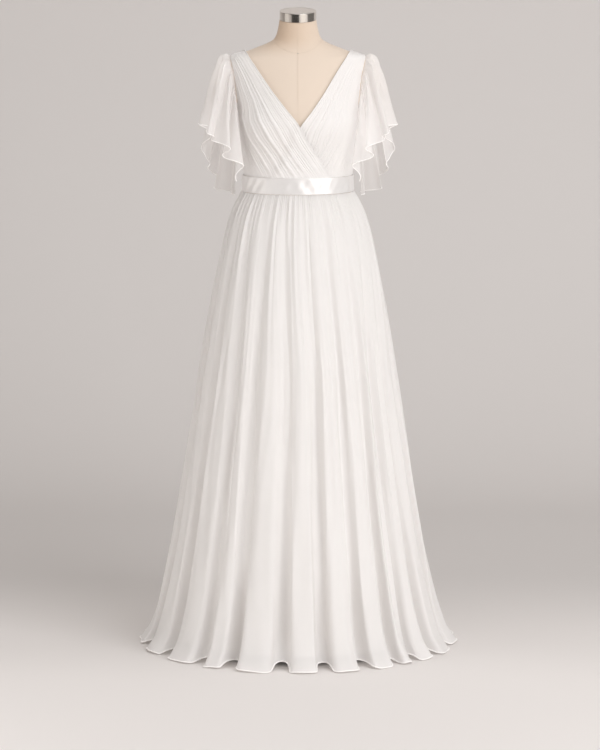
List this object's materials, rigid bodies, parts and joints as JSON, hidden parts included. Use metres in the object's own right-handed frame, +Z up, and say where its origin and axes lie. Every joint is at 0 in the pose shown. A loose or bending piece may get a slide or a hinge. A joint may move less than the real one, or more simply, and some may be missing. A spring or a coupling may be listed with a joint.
{
  "type": "wedding dress on a dress form",
  "caption": "Floor-length chiffon wedding dress with a crossover V neck, satin waistband, flutter sleeves and full gathered skirt, worn by a limbless dress form on a round stand.",
  "frame": {"origin": "on the floor, at the centre of the stand base's underside, under the middle of the dress form", "axes": "+Z up, -Y towards the front of the dress, +X towards the wearer's left"},
  "size_m": [0.7934, 0.8036, 1.5635],
  "materials": {
    "chiffon": "soft ivory chiffon with a faint sheen",
    "satin": "glossy ivory satin",
    "lining": "smooth ivory lining cloth",
    "linen": "stretched beige linen jersey",
    "cap_metal": "brushed round the rim",
    "stand_metal": "satin"
  },
  "bodies": {
    "root": {"bodice_front_right": "chiffon", "bodice_front_left": "chiffon", "bodice_back_right": "chiffon", "bodice_back_left": "chiffon", "waistband": "satin", "sleeve_right": "chiffon", "sleeve_left": "chiffon", "skirt_front": "chiffon", "skirt_side_left": "chiffon", "skirt_side_right": "chiffon", "skirt_back_left": "chiffon", "skirt_back_right": "chiffon", "skirt_lining": "lining", "form_torso": "linen", "form_cap": "cap_metal", "stand_pole": "stand_metal", "stand_base": "stand_metal"}
  },
  "joints": []
}
